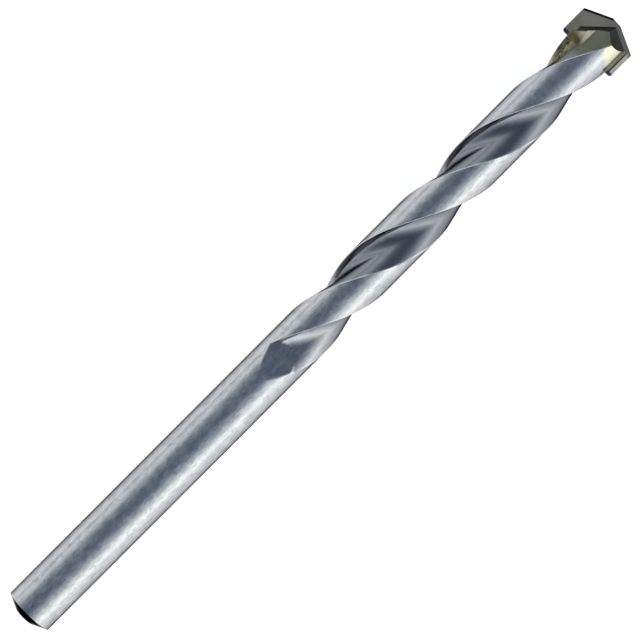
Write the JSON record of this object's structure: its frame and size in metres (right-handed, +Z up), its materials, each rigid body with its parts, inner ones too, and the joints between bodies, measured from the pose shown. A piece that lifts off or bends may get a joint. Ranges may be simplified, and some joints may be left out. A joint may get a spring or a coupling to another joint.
{
  "type": "masonry drill bit",
  "caption": "Right-hand spiral masonry drill bit with a brazed carbide plate, ground head and plain round shank.",
  "frame": {"origin": "middle of the bounding box at the surface that the bit lies on", "axes": "+X along the drill towards the point, +Z up, with the carbide plate's wide faces level"},
  "size_m": [0.15, 0.012, 0.0095],
  "materials": {
    "steel": "blasted and lightly polished steel",
    "carbide": "ground grey carbide",
    "brazing_alloy": "dull yellow brazing alloy"
  },
  "bodies": {
    "root": {"drill_body": "steel", "carbide_tip": "carbide", "braze_joint": "brazing_alloy"}
  },
  "joints": []
}
